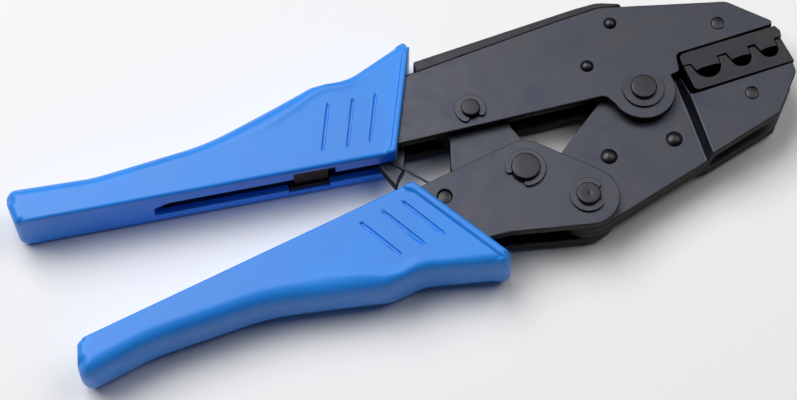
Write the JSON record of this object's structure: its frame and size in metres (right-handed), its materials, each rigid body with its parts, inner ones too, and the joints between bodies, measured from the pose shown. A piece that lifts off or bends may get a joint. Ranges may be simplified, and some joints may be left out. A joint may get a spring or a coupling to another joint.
{
  "type": "ratchet crimping tool",
  "caption": "Ratchet hand crimper: plate frame, link-and-knee driven jaw, stepped crimping dies, release pawl, return spring and moulded grips.",
  "frame": {"origin": "middle of the tool's box seen from above, on the plane it lies on", "axes": "+X along the fixed handle's grip from its free end towards the jaws; +Y from the moving handle towards the fixed one; +Z square to the plates, towards the side with the retaining clips"},
  "size_m": [0.2298, 0.0848, 0.018],
  "materials": {
    "oxide_steel": "blue-black oxide, satin",
    "die_steel": "hardened, dark, matt",
    "pin_steel": "blackened, turned",
    "spring_steel": "blackened, satin",
    "grip_plastic": "moulded, satin"
  },
  "bodies": {
    "frame": {"frame_plate_front": "oxide_steel", "frame_plate_back": "oxide_steel", "frame_spine": "oxide_steel", "frame_core": "oxide_steel", "tang_spacer": "oxide_steel", "frame_rivets": "pin_steel", "upper_die": "die_steel", "upper_die_pin": "pin_steel", "main_pivot_pin": "pin_steel", "main_pivot_clip": "spring_steel", "link_pin": "pin_steel", "link_pin_clip": "spring_steel", "pawl_pin": "pin_steel", "pawl_spring": "spring_steel", "upper_grip": "grip_plastic"},
    "link": {"ratchet_link": "oxide_steel"},
    "pawl": {"release_pawl": "oxide_steel"},
    "handle": {"handle_plate_front": "oxide_steel", "handle_plate_back": "oxide_steel", "handle_spacer": "oxide_steel", "handle_rivets": "pin_steel", "toggle_pin": "pin_steel", "toggle_pin_clip": "spring_steel", "knee_pin": "pin_steel", "knee_pin_clip": "spring_steel", "spring_pin": "pin_steel", "return_spring_coil": "spring_steel", "lower_grip": "grip_plastic"},
    "spring_leg": {"return_spring_leg": "spring_steel"},
    "jaw": {"jaw_plate_front": "oxide_steel", "jaw_plate_back": "oxide_steel", "jaw_rivets": "pin_steel", "lower_die": "die_steel", "lower_die_pin": "pin_steel"}
  },
  "joints": [
    {"name": "link_swing", "type": "hinge", "parent": "frame", "child": "link", "pos_m": [0.0197, 0.0156, 0.009], "axis": [0, 0, 1], "range_deg": [-14, 3.3]},
    {"name": "handle_squeeze", "type": "hinge", "parent": "link", "child": "handle", "pos_m": [0.0311, -0.0056, 0.009], "axis": [0, 0, 1], "range_deg": [-7, 30]},
    {"name": "jaw_swing", "type": "hinge", "parent": "frame", "child": "jaw", "pos_m": [0.0699, 0.0121, 0.009], "axis": [0, 0, 1], "range_deg": [-3.61, 0.85]},
    {"name": "spring_leg_swing", "type": "hinge", "parent": "handle", "child": "spring_leg", "pos_m": [0.0069, -0.0094, 0.009], "axis": [0, 0, 1], "range_deg": [-36.1, 8.5]},
    {"name": "pawl_release", "type": "hinge", "parent": "frame", "child": "pawl", "pos_m": [-0.0046, 0.0151, 0.009], "axis": [0, 0, 1], "range_deg": [0, 10], "stiffness_Nm_per_rad": 0.02, "springref_deg": -5.73}
  ],
  "couplings": [
    {"joint": "link_swing", "follows": "handle_squeeze", "ratio": -0.465},
    {"joint": "jaw_swing", "follows": "handle_squeeze", "ratio": -0.12},
    {"joint": "spring_leg_swing", "follows": "handle_squeeze", "ratio": -1.2}
  ]
}
